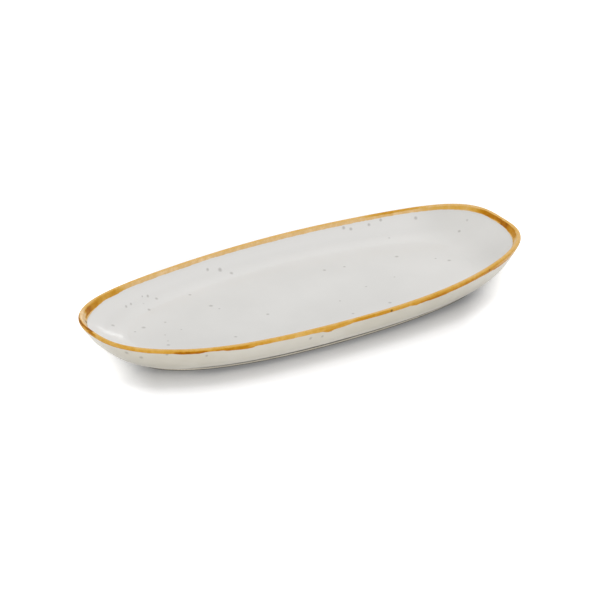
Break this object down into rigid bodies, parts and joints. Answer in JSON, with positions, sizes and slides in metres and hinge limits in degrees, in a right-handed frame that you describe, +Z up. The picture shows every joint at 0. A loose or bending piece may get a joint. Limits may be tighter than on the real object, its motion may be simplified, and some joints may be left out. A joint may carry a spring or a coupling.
{
  "type": "asparagus plate",
  "caption": "Long oval stoneware asparagus plate with a shallow boat-shaped well, raised ends, an ochre glazed lip and a low foot ring.",
  "frame": {"origin": "on the table under the middle of the plate, in the plane of the foot ring's sole", "axes": "+X along the plate's length, +Y across it, +Z up out of the well"},
  "size_m": [0.36, 0.155, 0.0267],
  "materials": {
    "bare_clay": "fired stoneware, bare and matt",
    "well_white": "off-white glaze with a soft gloss and sparse grey-brown iron specks",
    "wall_white": "the same off-white glaze, thinner and creamier on the outside",
    "ochre_band": "ochre to amber glaze, brushed on, darker where it pools"
  },
  "bodies": {
    "root": {"stoneware_body": "bare_clay", "well_glaze": "well_white", "wall_glaze": "wall_white", "rim_band": "ochre_band", "foot_recess_glaze": "wall_white"}
  },
  "joints": []
}
